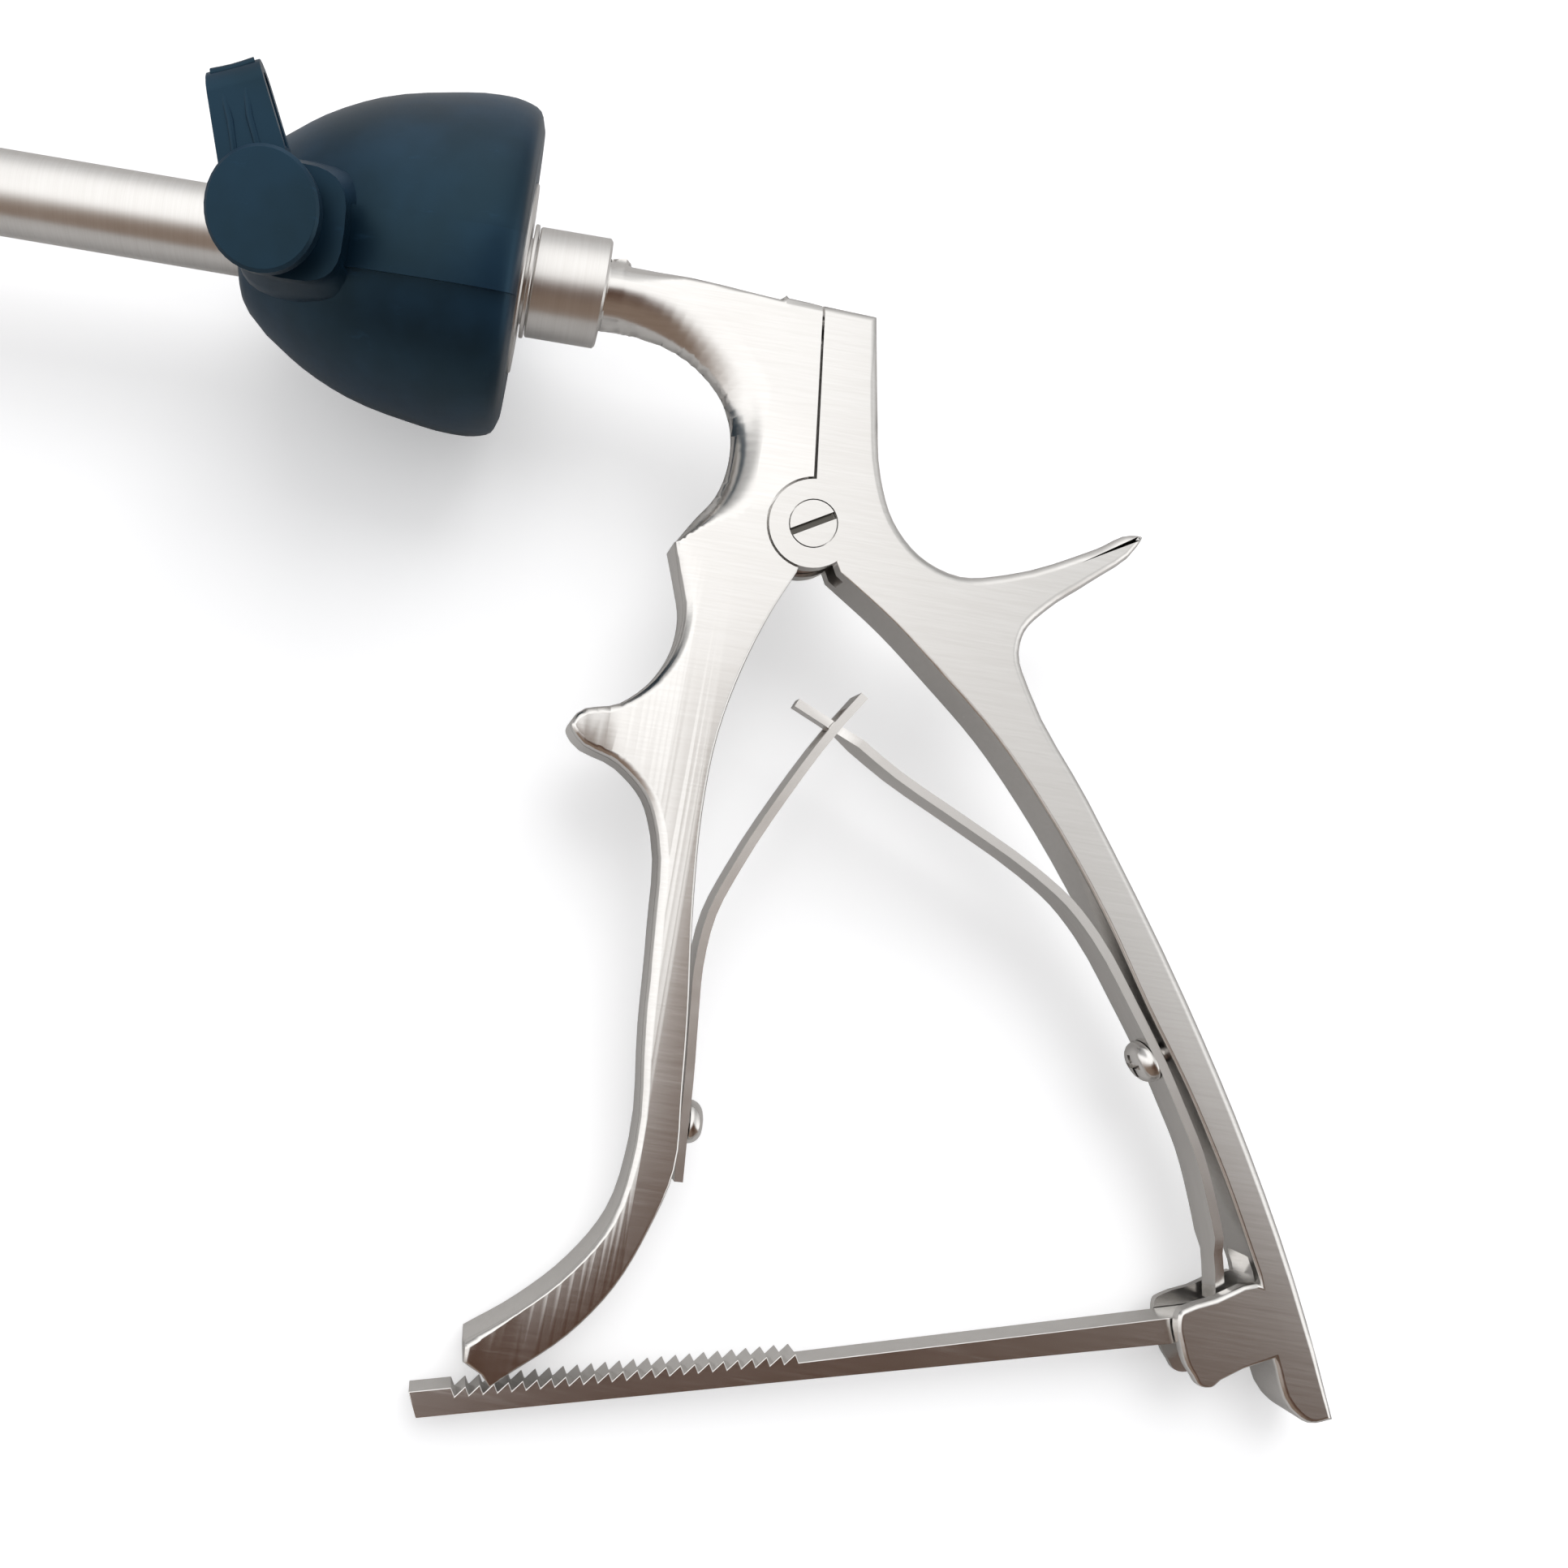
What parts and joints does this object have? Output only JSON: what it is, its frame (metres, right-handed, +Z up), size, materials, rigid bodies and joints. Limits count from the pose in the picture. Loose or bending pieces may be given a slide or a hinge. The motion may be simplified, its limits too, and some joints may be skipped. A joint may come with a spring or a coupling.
{
  "type": "endoscopic grasping forceps",
  "caption": "Endoscopic grasping forceps: slim steel tube with toothed jaws, sliding plastic cone with a clamp lever, pistol handle with leaf springs and a ratchet bar.",
  "frame": {"origin": "middle of the underside of the bounding box, with the instrument lying on its side", "axes": "+X along the shaft from the jaws to the handle, +Y from the grips to the shaft, +Z up along the axis of the handle's pivot"},
  "size_m": [0.451, 0.1626, 0.0492],
  "materials": {
    "satin_steel": "satin brushed stainless steel",
    "handle_steel": "satin stainless steel with fine cross brushing",
    "spring_steel": "smooth spring steel",
    "screw_steel": "polished steel",
    "navy_plastic": "matte moulded plastic",
    "white_plastic": "plain white plastic",
    "black_rubber": "plain rubber"
  },
  "bodies": {
    "frame": {"outer_tube": "satin_steel", "tube_collar": "satin_steel", "collar_ring": "screw_steel", "rear_rod_guide": "white_plastic", "front_rod_guide": "white_plastic", "jaw_housing": "satin_steel", "jaw_pivot_pin": "screw_steel", "fixed_handle": "handle_steel", "front_leaf_spring": "spring_steel", "front_leaf_screw": "screw_steel"},
    "rear_handle": {"moving_handle": "handle_steel", "pivot_screw": "screw_steel", "rear_leaf_spring": "spring_steel", "rear_leaf_screw": "screw_steel", "ratchet_pin": "screw_steel"},
    "ratchet_bar": {"ratchet_bar": "handle_steel"},
    "rod": {"actuating_rod": "screw_steel", "drive_pin": "screw_steel"},
    "upper_jaw": {"upper_jaw": "satin_steel"},
    "lower_jaw": {"lower_jaw": "satin_steel"},
    "cone_sleeve": {"cone_sleeve": "satin_steel"},
    "cone": {"cone_body": "navy_plastic", "cone_seal": "black_rubber", "clamp_bush": "screw_steel", "clamp_tip": "white_plastic"},
    "clamp_lever": {"clamp_lever": "navy_plastic", "clamp_stud": "screw_steel"}
  },
  "joints": [
    {"name": "squeeze", "type": "hinge", "parent": "frame", "child": "rear_handle", "pos_m": [0.14327, 0.03669, 0.0195], "axis": [0, 0, -1], "range_deg": [0, 19.6], "stiffness_Nm_per_rad": 3, "springref_deg": -8.59, "deforming": ["front_leaf_spring", "rear_leaf_spring"]},
    {"name": "bar_swing", "type": "hinge", "parent": "rear_handle", "child": "ratchet_bar", "pos_m": [0.20787, -0.05371, 0.0195], "axis": [0, 0, 1], "range_deg": [0, 12.1]},
    {"name": "rod_slide", "type": "slide", "parent": "frame", "child": "rod", "axis": [1, 0, 0], "range_m": [0, 0.00897]},
    {"name": "upper_jaw_hinge", "type": "hinge", "parent": "frame", "child": "upper_jaw", "pos_m": [-0.19653, 0.06179, 0.0195], "axis": [0, 0, 1], "range_deg": [0, 20.02]},
    {"name": "lower_jaw_hinge", "type": "hinge", "parent": "frame", "child": "lower_jaw", "pos_m": [-0.19653, 0.06179, 0.0195], "axis": [0, 0, -1], "range_deg": [0, 20.02]},
    {"name": "cone_slide", "type": "slide", "parent": "frame", "child": "cone_sleeve", "axis": [-1, 0, 0], "range_m": [0, 0.2]},
    {"name": "cone_turn", "type": "hinge", "parent": "cone_sleeve", "child": "cone", "pos_m": [0.08327, 0.06179, 0.0195], "axis": [1, 0, 0], "continuous": true},
    {"name": "clamp_lever_turn", "type": "hinge", "parent": "cone", "child": "clamp_lever", "pos_m": [0.07477, 0.06179, 0.0195], "axis": [0, -0.3355, 0.9421], "range_deg": [0, 90]}
  ],
  "couplings": [
    {"joint": "bar_swing", "follows": "squeeze", "ratio": 0.615},
    {"joint": "rod_slide", "follows": "squeeze", "m_per_rad": 0.026172},
    {"joint": "upper_jaw_hinge", "follows": "squeeze", "ratio": 1.0204},
    {"joint": "lower_jaw_hinge", "follows": "squeeze", "ratio": 1.0204}
  ]
}
